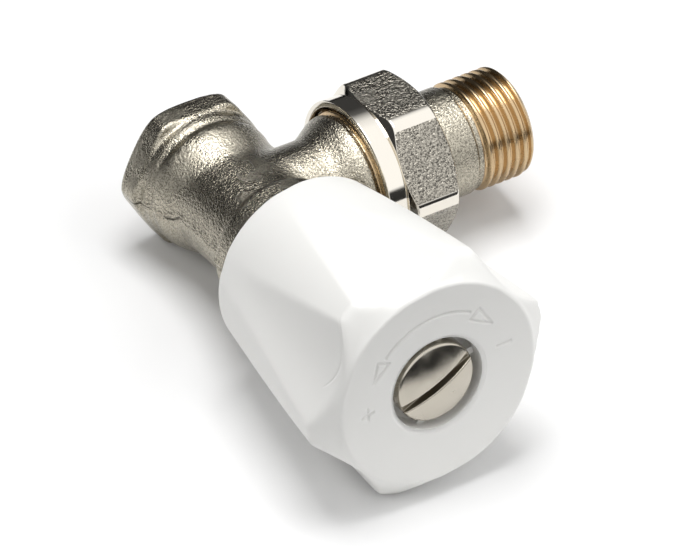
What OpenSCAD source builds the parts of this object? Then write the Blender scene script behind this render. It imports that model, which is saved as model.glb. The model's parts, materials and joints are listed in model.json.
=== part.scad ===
// Manual radiator valve, angle pattern, with a union tail and a rising spindle.
// The origin is the centre of the inlet mouth. +Y leaves the inlet, +X leaves the outlet,
// the handwheel is on the -Y side, and +Z is up as the valve lies on a table.
// Stations called ..._at are distances from the point where the two axes cross:
// towards the handwheel on the spindle axis, towards the radiator on the outlet axis.
// Every thread is a plain cylinder at the radius that bears.

/* [Inlet] */
// From the mouth of the inlet to the crossing of the axes
inlet_reach = 22; // [20:0.5:30]
// Minor radius of the female half-inch pipe thread
inlet_thread_r = 9.32; // [9:0.01:9.5]
// Length of the female thread with its mouth chamfer
inlet_thread_l = 12; // [9:0.5:13]
// Chamfer at the mouth of the thread
mouth_chamfer = 0.5; // [0.2:0.1:0.5]
// Width across the flats of the inlet hexagon
inlet_hex_af = 26; // [25:0.5:28]
// Radius to which the corners of the inlet hexagon are rounded off
inlet_corner_r = 14.5; // [14.2:0.1:15]
// Length of the inlet hexagon
inlet_hex_l = 5.4; // [4:0.1:8]
// Radius of the passage behind the thread
inlet_bore_r = 7; // [5.5:0.1:8]

/* [Body] */
// Outer radius of the barrel around the inlet thread
barrel_r = 12.9; // [12:0.1:13]
// Start of the barrel's fall to the neck, above and below
barrel_end_at = -7; // [-9:0.5:-6]
// Start of the barrel's fall to the neck, at its sides
barrel_side_end_at = -10; // [-10.2:0.1:-9.5]
// Half width of the longer part of the barrel, above and below
barrel_pad_w = 9; // [7:0.5:10]
// Radius of the shallow groove between the inlet hexagon and the barrel
groove_floor_r = 12.1; // [11.8:0.1:12.4]
// Middle of the shallow groove
groove_at = -13.6; // [-14:0.1:-13]
// Radius of the neck between the barrel and the head
neck_outer_r = 10.8; // [10.7:0.1:11.2]
// Start of the neck
neck_start_at = -2.5; // [-4:0.5:-1]
// Radius of the raised head that takes the bonnet
head_r = 13; // [12.5:0.1:14]
// Start of the raised head
head_at = 9.5; // [8:0.5:12]
// Face of the raised head, where the bonnet seal lies
head_face_at = 17; // [16:0.5:18]
// Radius of the chamber around the clack
chamber_r = 9; // [8:0.1:9.1]
// Floor of the chamber, on the inlet side
chamber_floor_at = -6.5; // [-7:0.1:-5.5]
// Thickness of the wall between the inlet and the chamber
divider_t = 1.5; // [1:0.1:2]
// Radius of the hole through the seat
seat_hole_r = 5; // [4:0.1:5.5]
// Outer radius of the seat
seat_r = 6.6; // [6:0.1:7]
// Face of the seat
seat_at = -4; // [-4.5:0.1:-3.5]
// Radius of the thread that takes the bonnet
port_thread_r = 9.2; // [9.2:0.05:10]
// Length of the thread that takes the bonnet
port_thread_l = 9; // [7:0.5:9]

/* [Branch] */
// Outer radius of the branch to the union
branch_r = 9.9; // [9:0.1:11]
// Radius of the swelling behind the union nut
branch_end_r = 12.6; // [12:0.1:12.9]
// Start of the swelling
branch_flare_at = 12.5; // [11:0.5:14]
// Radius of the round root where the branch leaves the neck
root_r = 15.9; // [15:0.1:16.2]
// Half height of the round root
root_half_h = 7.5; // [6:0.5:8]
// End of the swelling
branch_end_at = 20.2; // [19:0.1:20.4]
// Radius of the passage in the branch
outlet_bore_r = 6.5; // [5:0.1:7]
// Crest radius of the three-quarter-inch union thread
union_thread_r = 13; // [12.8:0.05:13.2]
// End face of the union thread
union_face_at = 29; // [28:0.5:30]
// Radius of the relief groove behind the union thread
union_relief_r = 12; // [11.5:0.1:12.4]
// Width of the relief groove
union_relief_w = 0.8; // [0.5:0.1:1.2]

/* [Union nut] */
// Width across the flats of the union nut
nut_af = 29.7; // [29.3:0.1:31]
// Radius to which the corners of the nut are rounded off
nut_corner_r = 16.5; // [16:0.1:17]
// Back edge of the smooth collar on the nut
nut_back_at = 20.7; // [20.6:0.1:21]
// Radius of the smooth collar
nut_collar_r = 14.6; // [14.2:0.1:14.8]
// Start of the hexagon
nut_hex_at = 24.4; // [23:0.1:26]
// End face of the nut
nut_face_at = 35.5; // [34.5:0.1:36.5]
// Thickness of the inner lip that pulls on the tail
nut_lip_t = 2.3; // [1.8:0.1:2.4]
// Radius of the hole in the lip
nut_lip_r = 10.7; // [10.6:0.1:11]
// Clearance around the union thread
nut_clearance = 0.1; // [0.05:0.01:0.1]
// Chamfer inside the back edge of the nut
nut_mouth_chamfer = 0.7; // [0.4:0.1:0.9]

/* [Tail] */
// Crest radius of the male half-inch pipe thread
tail_thread_r = 10.48; // [10.4:0.01:10.5]
// Start of the male thread
tail_thread_at = 42.7; // [41:0.1:44]
// End of the tail
tail_end_at = 54.7; // [54:0.1:58]
// Chamfer at the end of the thread
tail_chamfer = 0.8; // [0.4:0.1:1]
// Radius of the plain collar between the nut and the thread
tail_collar_r = 10.3; // [10:0.05:10.4]
// Radius of the relief groove before the thread
tail_relief_r = 9.5; // [9.3:0.1:9.8]
// Width of the relief groove before the thread
tail_relief_w = 0.6; // [0.4:0.1:1]
// Radius of the shoulder inside the nut
shoulder_r = 12.6; // [12:0.1:12.8]
// Thickness of the shoulder
shoulder_t = 2.85; // [2:0.05:3]
// Thickness of the flat seal before the shoulder
tail_seal_t = 1.2; // [1:0.1:1.5]
// Radius of the hole in the flat seal
tail_seal_r = 8.2; // [7.5:0.1:9]
// Radius of the bore in the tail
tail_bore_r = 7; // [6:0.1:7.2]
// Width across the flats of the socket for the fitting key
tail_socket_af = 12.6; // [12:0.1:13]
// Depth of the socket for the fitting key
tail_socket_l = 8; // [6:0.5:12]

/* [Bonnet] */
// Thickness of the flat seal under the bonnet hexagon
bonnet_seal_t = 0.8; // [0.5:0.1:1]
// Width of the flat seal around the thread
bonnet_seal_w = 1.6; // [1.2:0.1:1.7]
// Width across the flats of the bonnet hexagon
bonnet_hex_af = 22; // [21:0.5:23]
// Thickness of the bonnet hexagon
bonnet_hex_t = 4.2; // [3:0.1:5]
// Radius of the upper barrel, threaded for the gland nut
bonnet_barrel_r = 9; // [8.7:0.1:9.2]
// Top of the upper barrel
bonnet_top_at = 37; // [36:0.5:38]
// Radius of the pocket that the clack rises into
bonnet_pocket_r = 7.4; // [7.3:0.05:7.6]
// Top of the pocket
bonnet_pocket_at = 12; // [11:0.5:12.5]
// Lower end of the bore for the limiter sleeve
bonnet_counterbore_at = 24.2; // [24:0.1:25]
// Radius of the bore for the limiter sleeve
bonnet_counterbore_r = 7; // [6.8:0.1:7.2]

/* [Gland] */
// Top of the limiter sleeve
sleeve_top_at = 38.5; // [38:0.1:39]
// Width of the two key slots in the limiter sleeve
sleeve_slot_w = 1.4; // [1:0.1:2]
// Depth of the key slots
sleeve_slot_l = 1.6; // [1:0.1:2]
// Thickness of the gland washer
gland_washer_t = 0.7; // [0.5:0.1:1]
// Thickness of the wiper seal in the gland
gland_seal_t = 1; // [0.8:0.1:1.2]
// Wall of the gland nut at its flats
gland_wall = 1.2; // [1:0.1:1.8]
// Lower end of the gland nut
gland_at = 32.5; // [31:0.5:34]
// Thickness of the top of the gland nut
gland_top_t = 1.8; // [1.2:0.1:2]

/* [Spindle] */
// Travel of the spindle from closed to fully open
lift = 4; // [3:0.1:4.1]
// Crest radius of the spindle thread
spindle_thread_r = 6; // [5.8:0.1:6]
// Lower end of the spindle thread with the valve closed
spindle_thread_at = 13; // [12.5:0.1:14]
// Length of the spindle thread
spindle_thread_l = 7; // [6:0.1:7]
// Radius of the sealed stem
stem_r = 4.9; // [4.8:0.05:4.95]
// Radius of the plain part below the thread
spindle_low_r = 4.5; // [4:0.1:4.7]
// Radius of the foot that turns inside the clack
foot_r = 3.2; // [3:0.1:3.2]
// Height of the foot
foot_h = 2.4; // [2:0.1:2.5]
// Underside of the foot with the valve closed
foot_at = 1.1; // [1.1:0.1:1.3]
// Radius of the neck above the foot
neck_r = 2.4; // [2:0.1:2.5]
// Top of the sealed stem, where the spline starts
spline_at = 43; // [42.5:0.1:44]
// Gap between the top of the spindle and the end of the insert
spindle_top_gap = 0.2; // [0.1:0.1:0.5]
// Outer radius of the spline
spline_r = 4.4; // [4.2:0.1:4.5]
// Depth of the spline grooves
spline_depth = 0.6; // [0.4:0.1:0.8]
// Number of spline grooves
spline_count = 12; // [8:2:16]
// Depth of the threaded hole for the handwheel screw
screw_hole_l = 12; // [10:0.5:13]
// Centres of the two ring grooves with the valve closed
o_ring_at = [27, 31];
// Thickness of the rubber rings
o_ring_t = 1.4; // [1.2:0.1:1.6]
// Side clearance of the rings in their grooves
o_ring_play = 0.15; // [0.1:0.05:0.25]
// Running clearance of every turning fit
running_gap = 0.05; // [0.02:0.01:0.08]

/* [Clack] */
// Radius of the clack
clack_r = 7; // [6.8:0.1:7]
// Face of the clack that backs the rubber
clack_back_at = -1.5; // [-1.8:0.1:-1.2]
// Top of the clack
clack_top_at = 5.5; // [5:0.1:5.5]
// Floor of the socket for the spindle foot
clack_socket_at = 1; // [0.8:0.1:1]
// Play between the clack and the foot
clack_play = 0.1; // [0.05:0.01:0.1]
// Thickness of the rim that holds the rubber
clack_rim_t = 0.35; // [0.3:0.05:0.5]
// Height of the rim
clack_rim_h = 1.4; // [1:0.1:1.8]
// Radius of the holes for the clack screw
clack_screw_r = 1.6; // [1.5:0.1:2]
// Radius of the clack screw head
clack_screw_head_r = 2.6; // [2.4:0.1:3]
// Height of the clack screw head
clack_screw_head_h = 1.6; // [1.2:0.1:2]
// Radius of the plate under the screw head
clack_plate_r = 3.6; // [3.2:0.1:4]
// Thickness of the plate
clack_plate_t = 0.6; // [0.5:0.1:0.8]
// Thickness of the clip that holds the foot
clip_t = 0.8; // [0.6:0.1:0.8]
// Outer radius of the clip
clip_r = 4.15; // [4:0.05:4.3]
// Radius of the opening in the clip
clip_hole_r = 2.6; // [2.6:0.05:2.8]
// Underside of the clip
clip_at = 3.7; // [3.7:0.05:3.8]
// Width of the gap in the clip
clip_gap = 2; // [1.5:0.1:3]

/* [Handwheel] */
// Rear rim of the handwheel
knob_rear_at = 18.2; // [18:0.1:19]
// Front face of the handwheel
knob_face_at = 63; // [62:0.1:64]
// Outer radius at the rear rim
knob_rear_r = 17.7; // [17.5:0.1:18]
// Radius of the round front face
knob_face_r = 19.5; // [19:0.1:20]
// Greatest radius, at the corners
knob_corner_r = 24.5; // [23:0.1:24.8]
// Distance of the rear of each side from the axis, beyond the round rim
knob_side_rear_r = 18.3; // [17.8:0.1:18.5]
// Distance of the front of each side from the axis
knob_side_r = 20.5; // [20:0.1:21]
// Bend of each side, which is hollow along its middle
knob_side_bend = 8.5; // [2:0.5:11]
// Length of the cone that ends at the front face
knob_front_l = 4.2; // [3.5:0.1:5]
// Turn of the first corner from the outlet axis
knob_corner_turn = 10; // [0:1:60]
// Rounding of the rear rim
knob_rim_round = 0.6; // [0.3:0.1:0.9]
// Thickness of the skirt
knob_wall = 2.2; // [1.8:0.1:2.4]
// Thickness of the front wall
knob_front_t = 3; // [2.4:0.1:3.4]
// Radius of the recess for the screw
recess_r = 9.2; // [8.6:0.1:9.8]
// Depth of the recess
recess_l = 4.6; // [4.2:0.1:5.4]
// Chamfer round the mouth of the recess
recess_chamfer = 0.5; // [0.3:0.1:0.8]
// Wall around the recess
recess_wall = 2; // [1.6:0.1:2.2]
// Outer radius of the hub
hub_r = 8.2; // [7.6:0.1:8.6]
// Free end of the hub
hub_at = 45.5; // [45:0.1:46]
// Number of ribs between the hub and the skirt
rib_count = 6; // [3:1:8]
// Turn of the first rib from the outlet axis
rib_turn = 15; // [0:1:60]
// Thickness of a rib
rib_t = 1.4; // [1:0.1:2]
// Free edge of the ribs
rib_at = 49; // [47:0.1:50]
// Outer radius of the metal insert in the hub
insert_r = 6.2; // [5.8:0.1:6.4]
// Length of the insert
insert_l = 8; // [6:0.1:8]

/* [Handwheel screw] */
// Radius of the screw head
screw_head_r = 7.8; // [7.4:0.1:8.2]
// Height of the straight edge of the head
screw_edge_h = 3.4; // [3:0.1:3.8]
// Height of the dome on the head
screw_dome_h = 1.3; // [1:0.1:1.6]
// Width of the slot
screw_slot_w = 1.5; // [1.2:0.1:1.8]
// Depth of the slot below the top of the dome
screw_slot_l = 1.9; // [1.5:0.1:2.2]
// Turn of the slot from the outlet axis
screw_slot_turn = 25; // [0:1:180]
// Radius of the screw thread
screw_r = 2.5; // [2:0.1:2.5]
// Length of the screw below its head
screw_l = 14; // [12:0.5:15]
// Thickness of the washer under the head
screw_washer_t = 0.5; // [0.4:0.1:0.6]

/* [Hidden] */
$fn = 72;
// Extra length of every cut that runs out of a solid
over = inlet_reach / 22;
// Corner radius of a hexagon for each unit across its flats
hex_share = 1 / sqrt(3);
// Share of the flat width at which a corner chamfer starts
chamfer_start_share = 0.96;
// Rise of a corner chamfer for each unit of its width
chamfer_slope_share = 0.58;
// Outline steps in a quarter of a small round
arc_steps = 6;
knob_l = knob_face_at - knob_rear_at;
knob_inner_rear_r = knob_rear_r - knob_wall;
knob_recess_at = knob_face_at - recess_l;
knob_wall_back_at = knob_face_at - knob_front_t;
// Lean of the six sides away from the axis
knob_side_lean = atan((knob_side_r - knob_side_rear_r) / knob_l);
screw_seat_at = knob_recess_at + screw_washer_t;
screw_dome_r = (pow(screw_head_r, 2) + pow(screw_dome_h, 2)) / (2 * screw_dome_h);
shoulder_at = union_face_at + tail_seal_t;
spindle_top_at = hub_at + insert_l - spindle_top_gap;
nut_lip_at = nut_face_at - nut_lip_t;
groove_r = stem_r + running_gap / 2 - o_ring_t;
nickel = "silver";
bright_nickel = "gainsboro";
brass = "goldenrod";
rubber = "dimgray";
plastic = "white";
steel = "lightslategray";

// Puts its children on the spindle axis, with their +Z towards the handwheel.
module on_spindle(at = 0) {
    translate([0, -inlet_reach, 0])
        rotate([90, 0, 0])
            translate([0, 0, at])
                children();
}

// Puts its children on the outlet axis, with their +Z towards the radiator.
module on_outlet(at = 0) {
    translate([0, -inlet_reach, 0])
        rotate([0, 90, 0])
            translate([0, 0, at])
                children();
}

// Plain ring or washer.
module ring(outer_r, inner_r, h) {
    difference() {
        cylinder(r = outer_r, h = h);
        translate([0, 0, -over])
            cylinder(r = inner_r, h = h + 2 * over);
    }
}

// Round solid from the radii and heights of its outline, closed along the axis.
module turned(outline) {
    last = len(outline) - 1;
    rotate_extrude()
        polygon(concat([[0, outline[0][1]]], outline, [[0, outline[last][1]]]));
}

// Hexagonal bar with its corners turned down to a radius and chamfered at both ends.
module hexagon(af, h, corner_r) {
    start_r = af / 2 * chamfer_start_share;
    rise = (corner_r - start_r) * chamfer_slope_share;
    intersection() {
        cylinder(r = af * hex_share, h = h, $fn = 6);
        turned([[start_r, 0], [corner_r, rise], [corner_r, h - rise], [start_r, h]]);
    }
}

// Points of a smooth S-shaped run between two radii.
function s_curve(from_r, from_at, to_r, to_at) = [
    for (i = [0:2 * arc_steps])
        let (share = i / (2 * arc_steps))
            [from_r + (to_r - from_r) * (1 - cos(180 * share)) / 2,
             from_at + (to_at - from_at) * share]
];

module valve_body() {
    hex_back_at = -inlet_reach + inlet_hex_l;
    side_neck_at = barrel_side_end_at + neck_start_at - barrel_end_at;
    color(nickel)
        difference() {
            union() {
                on_spindle(-inlet_reach)
                    hexagon(inlet_hex_af, inlet_hex_l, inlet_corner_r);
                on_spindle()
                    turned(concat(
                        [[groove_floor_r, hex_back_at - inlet_hex_l / 2]],
                        s_curve(inlet_hex_af / 2, hex_back_at, groove_floor_r, groove_at),
                        s_curve(groove_floor_r, groove_at, barrel_r, 2 * groove_at - hex_back_at),
                        s_curve(barrel_r, barrel_side_end_at, neck_outer_r, side_neck_at),
                        s_curve(neck_outer_r, head_at - head_r + neck_outer_r, head_r, head_at + mouth_chamfer),
                        [[head_r, head_face_at]]));
                barrel_pads();
                branch_root();
                on_outlet()
                    turned(concat(
                        [[branch_r, 0]],
                        s_curve(branch_r, branch_flare_at, branch_end_r, branch_end_at - union_relief_w),
                        [[branch_end_r, branch_end_at], [union_relief_r, branch_end_at],
                         [union_relief_r, branch_end_at + union_relief_w],
                         [union_thread_r, branch_end_at + 2 * union_relief_w],
                         [union_thread_r, union_face_at - union_relief_w],
                         [union_relief_r, union_face_at]]));
            }
            inlet_passage();
            valve_chamber();
            on_outlet()
                cylinder(r = outlet_bore_r, h = union_face_at + over);
        }
}

// Upper and lower parts of the barrel, which run further along the neck than its sides.
module barrel_pads() {
    intersection() {
        on_spindle()
            turned(concat(
                [[barrel_r, barrel_side_end_at - union_relief_w / 2]],
                s_curve(barrel_r, barrel_end_at, neck_outer_r, neck_start_at)));
        translate([-barrel_pad_w, -inlet_reach, -barrel_r])
            cube([2 * barrel_pad_w, inlet_reach, 2 * barrel_r]);
    }
}

// Ball-shaped root of the branch, cut flat above and below.
module branch_root() {
    intersection() {
        on_spindle()
            sphere(r = root_r);
        translate([0, -inlet_reach - root_r, -root_half_h])
            cube([root_r, 2 * root_r, 2 * root_half_h]);
    }
}

// Threaded mouth, passage and seat hole, cut from the inlet side.
module inlet_passage() {
    on_spindle(-inlet_reach - over)
        cylinder(r = inlet_thread_r, h = inlet_thread_l + over);
    on_spindle(-inlet_reach)
        turned([[inlet_thread_r + mouth_chamfer + over, -over], [inlet_thread_r, mouth_chamfer]]);
    on_spindle(-inlet_reach + inlet_thread_l - over)
        cylinder(r = inlet_bore_r, h = chamber_floor_at - divider_t + inlet_reach - inlet_thread_l + over);
    on_spindle(chamber_floor_at - divider_t - over)
        cylinder(r = seat_hole_r, h = seat_at - chamber_floor_at + divider_t + 2 * over);
}

// Chamber with the seat left standing in it, and the thread for the bonnet.
module valve_chamber() {
    on_spindle(chamber_floor_at)
        ring(chamber_r, seat_r, seat_at - chamber_floor_at);
    on_spindle(seat_at)
        cylinder(r = chamber_r, h = head_face_at - seat_at);
    on_spindle(head_face_at - port_thread_l)
        cylinder(r = port_thread_r, h = port_thread_l + over);
}

module bonnet() {
    hex_at = head_face_at + bonnet_seal_t;
    nose_r = port_thread_r - running_gap;
    color(bright_nickel)
        difference() {
            union() {
                on_spindle(head_face_at - port_thread_l)
                    cylinder(r = nose_r, h = hex_at - head_face_at + port_thread_l);
                on_spindle(hex_at)
                    hexagon(bonnet_hex_af, bonnet_hex_t, bonnet_hex_af * hex_share);
                on_spindle(hex_at)
                    cylinder(r = bonnet_barrel_r, h = bonnet_top_at - hex_at);
            }
            on_spindle(head_face_at - port_thread_l - over)
                cylinder(r = bonnet_pocket_r, h = bonnet_pocket_at - head_face_at + port_thread_l + over);
            on_spindle(bonnet_pocket_at - over)
                cylinder(r = spindle_thread_r + running_gap, h = bonnet_top_at - bonnet_pocket_at);
            on_spindle(bonnet_counterbore_at)
                cylinder(r = bonnet_counterbore_r, h = bonnet_top_at - bonnet_counterbore_at + over);
        }
}

module bonnet_seal() {
    color(rubber)
        on_spindle(head_face_at)
            ring(port_thread_r + bonnet_seal_w, port_thread_r, bonnet_seal_t);
}

module limiter_sleeve() {
    outer_r = bonnet_counterbore_r - running_gap;
    color(brass)
        difference() {
            on_spindle(bonnet_counterbore_at)
                ring(outer_r, stem_r + 3 * running_gap, sleeve_top_at - bonnet_counterbore_at);
            on_spindle(sleeve_top_at - sleeve_slot_l)
                translate([-outer_r - over, -sleeve_slot_w / 2, 0])
                    cube([2 * (outer_r + over), sleeve_slot_w, sleeve_slot_l + over]);
        }
}

module gland_washer() {
    color(steel)
        on_spindle(sleeve_top_at)
            ring(bonnet_barrel_r - 2 * running_gap, stem_r + 3 * running_gap, gland_washer_t);
}

module gland_seal() {
    color(rubber)
        on_spindle(sleeve_top_at + gland_washer_t)
            ring(bonnet_barrel_r - 2 * running_gap, stem_r + running_gap, gland_seal_t);
}

module gland_nut() {
    ledge_at = sleeve_top_at + gland_washer_t + gland_seal_t;
    bore_r = bonnet_barrel_r + running_gap;
    gland_af = 2 * (bore_r + gland_wall);
    color(bright_nickel)
        difference() {
            on_spindle(gland_at)
                hexagon(gland_af, ledge_at + gland_top_t - gland_at, gland_af * hex_share);
            on_spindle(gland_at - over)
                cylinder(r = bore_r, h = ledge_at - gland_at + over);
            on_spindle(ledge_at - over)
                cylinder(r = stem_r + 3 * running_gap, h = gland_top_t + 2 * over);
        }
}

module clack() {
    color(brass)
        difference() {
            on_spindle(clack_back_at - clack_rim_h)
                cylinder(r = clack_r, h = clack_top_at - clack_back_at + clack_rim_h);
            on_spindle(clack_back_at - clack_rim_h - over)
                cylinder(r = clack_r - clack_rim_t, h = clack_rim_h + over);
            on_spindle(clack_back_at - over)
                cylinder(r = clack_screw_r, h = clack_socket_at - clack_back_at + 2 * over);
            on_spindle(clack_socket_at)
                cylinder(r = foot_r + clack_play, h = clack_top_at - clack_socket_at + over);
            on_spindle(clip_at)
                cylinder(r = clip_r + running_gap, h = clip_t);
        }
}

module seat_washer() {
    color(rubber)
        on_spindle(seat_at)
            ring(clack_r - clack_rim_t, clack_screw_r, clack_back_at - seat_at);
}

module clack_plate() {
    color(steel)
        on_spindle(seat_at - clack_plate_t)
            ring(clack_plate_r, clack_screw_r, clack_plate_t);
}

module clack_screw() {
    head_at = seat_at - clack_plate_t - clack_screw_head_h;
    color(steel)
        difference() {
            on_spindle(head_at) {
                cylinder(r = clack_screw_head_r, h = clack_screw_head_h);
                cylinder(r = clack_screw_r - running_gap, h = clack_socket_at - 2 * clack_play - head_at);
            }
            on_spindle(head_at - over)
                translate([-clack_screw_head_r - over, -clack_plate_t / 2, 0])
                    cube([2 * (clack_screw_head_r + over), clack_plate_t, clack_screw_head_h / 2 + over]);
        }
}

module clack_clip() {
    color(steel)
        difference() {
            on_spindle(clip_at)
                ring(clip_r, clip_hole_r, clip_t);
            on_spindle(clip_at - over)
                translate([0, -clip_gap / 2, 0])
                    cube([clip_r + over, clip_gap, clip_t + 2 * over]);
        }
}

module spindle() {
    neck_at = foot_at + foot_h;
    low_at = clack_top_at + 3 * clack_play;
    color(bright_nickel)
        difference() {
            on_spindle() {
                translate([0, 0, foot_at])
                    cylinder(r = foot_r, h = foot_h);
                translate([0, 0, neck_at - over / 2])
                    cylinder(r = neck_r, h = low_at - neck_at + over);
                translate([0, 0, low_at])
                    cylinder(r = spindle_low_r, h = spindle_thread_at - low_at + over);
                translate([0, 0, spindle_thread_at])
                    cylinder(r = spindle_thread_r, h = spindle_thread_l);
                translate([0, 0, spindle_thread_at + over])
                    cylinder(r = stem_r, h = spline_at - spindle_thread_at - over);
                translate([0, 0, spline_at - over])
                    cylinder(r = spline_r, h = spindle_top_at - spline_at + over);
            }
            for (at = o_ring_at)
                on_spindle(at - o_ring_t / 2 - o_ring_play)
                    ring(stem_r + over, groove_r, o_ring_t + 2 * o_ring_play);
            on_spindle(spline_at)
                for (i = [0:spline_count - 1])
                    rotate([0, 0, 360 * i / spline_count])
                        translate([spline_r - spline_depth, -spline_depth / 2, 0])
                            cube([spline_depth + over, spline_depth, spindle_top_at - spline_at + over]);
            on_spindle(spindle_top_at - screw_hole_l)
                cylinder(r = screw_r + running_gap, h = screw_hole_l + over);
        }
}

// Rubber ring in one of the grooves of the spindle.
module spindle_ring(index) {
    color(rubber)
        on_spindle(o_ring_at[index])
            rotate_extrude()
                translate([groove_r + o_ring_t / 2, 0])
                    circle(d = o_ring_t, $fn = 24);
}

module knob() {
    widest_at = knob_l - knob_front_l;
    round_arc = [
        for (i = [0:arc_steps])
            let (a = 90 * i / arc_steps)
                [knob_rear_r - knob_rim_round * (1 - sin(a)), knob_rim_round * (1 - cos(a))]
    ];
    color(plastic)
        difference() {
            on_spindle(knob_rear_at)
                difference() {
                    turned(concat(round_arc,
                        [[knob_corner_r, widest_at], [knob_face_r, knob_l]]));
                    for (i = [0:5], half = [0, 1])
                        rotate([0, 0, knob_corner_turn + 30 + 60 * i])
                            mirror([0, half, 0])
                                translate([knob_side_rear_r, 0, 0])
                                    rotate([0, knob_side_lean, 0])
                                        rotate([0, 0, -knob_side_bend])
                                            translate([0, 0, -knob_front_l])
                                                cube([knob_corner_r, knob_corner_r, knob_l + 2 * knob_front_l]);
                }
            knob_hollow();
            on_spindle(knob_recess_at)
                cylinder(r = recess_r, h = recess_l + over);
            on_spindle(knob_face_at)
                turned([[recess_r, -recess_chamfer], [recess_r + recess_chamfer + over, over]]);
            on_spindle(hub_at - over)
                cylinder(r = insert_r, h = insert_l + over);
            on_spindle(hub_at)
                cylinder(r = screw_r + running_gap, h = recess_l + knob_face_at - hub_at);
        }
}

// Inside of the handwheel, less its hub, the wall of its recess and its ribs.
module knob_hollow() {
    cup_r = recess_r + recess_wall;
    difference() {
        on_spindle(knob_rear_at)
            turned([[knob_inner_rear_r, -over], [knob_side_r - knob_wall, knob_wall_back_at - knob_rear_at]]);
        on_spindle(hub_at)
            cylinder(r = hub_r, h = knob_face_at - hub_at);
        on_spindle(knob_recess_at - recess_wall)
            cylinder(r = cup_r, h = recess_l);
        for (i = [0:rib_count - 1])
            on_spindle(rib_at)
                rotate([0, 0, rib_turn + 360 * i / rib_count])
                    translate([0, -rib_t / 2, 0])
                        cube([knob_corner_r, rib_t, knob_face_at - rib_at]);
    }
}

module knob_insert() {
    color(brass)
        difference() {
            on_spindle(hub_at)
                cylinder(r = insert_r, h = insert_l);
            on_spindle(hub_at - over)
                cylinder(r = spline_r + running_gap, h = insert_l + 2 * over);
        }
}

module knob_screw() {
    dome_top = screw_edge_h + screw_dome_h;
    color(bright_nickel)
        difference() {
            on_spindle(screw_seat_at) {
                cylinder(r = screw_head_r, h = screw_edge_h);
                intersection() {
                    cylinder(r = screw_head_r, h = dome_top);
                    translate([0, 0, dome_top - screw_dome_r])
                        sphere(r = screw_dome_r);
                }
                translate([0, 0, -screw_l])
                    cylinder(r = screw_r, h = screw_l + screw_edge_h);
            }
            on_spindle(screw_seat_at + dome_top - screw_slot_l)
                rotate([0, 0, screw_slot_turn])
                    translate([-screw_head_r - over, -screw_slot_w / 2, 0])
                        cube([2 * (screw_head_r + over), screw_slot_w, screw_slot_l + over]);
        }
}

module knob_screw_washer() {
    color(steel)
        on_spindle(knob_recess_at)
            ring(screw_head_r - screw_washer_t, screw_r, screw_washer_t);
}

module tailpiece() {
    color(brass)
        difference() {
            on_outlet()
                turned([[shoulder_r, shoulder_at], [shoulder_r, shoulder_at + shoulder_t],
                        [tail_collar_r, shoulder_at + shoulder_t],
                        [tail_collar_r, tail_thread_at - tail_relief_w],
                        [tail_relief_r, tail_thread_at - tail_relief_w],
                        [tail_relief_r, tail_thread_at], [tail_thread_r, tail_thread_at],
                        [tail_thread_r, tail_end_at - tail_chamfer],
                        [tail_thread_r - tail_chamfer, tail_end_at]]);
            on_outlet(shoulder_at - over)
                cylinder(r = tail_bore_r, h = tail_end_at - tail_socket_l - shoulder_at + over);
            on_outlet(tail_end_at - tail_socket_l - over)
                cylinder(r = tail_socket_af * hex_share, h = tail_socket_l + 2 * over, $fn = 6);
        }
}

module tail_seal() {
    color(rubber)
        on_outlet(union_face_at)
            ring(union_relief_r, tail_seal_r, tail_seal_t);
}

module union_nut() {
    bore_r = union_thread_r + nut_clearance;
    color(nickel)
        difference() {
            union() {
                on_outlet(nut_back_at)
                    cylinder(r = nut_collar_r, h = nut_hex_at - nut_back_at + over);
                on_outlet(nut_hex_at)
                    rotate([0, 0, 30])
                        hexagon(nut_af, nut_face_at - nut_hex_at, nut_corner_r);
            }
            on_outlet(nut_back_at - over)
                cylinder(r = bore_r, h = nut_lip_at - nut_back_at + over);
            on_outlet(nut_back_at)
                turned([[bore_r + nut_mouth_chamfer + over, -over], [bore_r, nut_mouth_chamfer]]);
            on_outlet(nut_lip_at - over)
                cylinder(r = nut_lip_r, h = nut_lip_t + 2 * over);
        }
}

valve_body();
bonnet();
bonnet_seal();
limiter_sleeve();
gland_washer();
gland_seal();
gland_nut();
clack();
seat_washer();
clack_plate();
clack_screw();
clack_clip();
spindle();
spindle_ring(0);  // spindle_ring_low
spindle_ring(1);  // spindle_ring_high
knob();
knob_insert();
knob_screw();
knob_screw_washer();
tailpiece();
tail_seal();
union_nut();
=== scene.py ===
"""Looks of the manual radiator valve: its cast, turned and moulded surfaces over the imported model.

Builders work in millimetres from the point where the two axes cross. A place is written (x, d, z):
x towards the radiator, d along the spindle axis towards the handwheel, z up.
"""

import json
import math

import bmesh
import bpy
import numpy as np
from mathutils import Matrix, Vector


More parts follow.
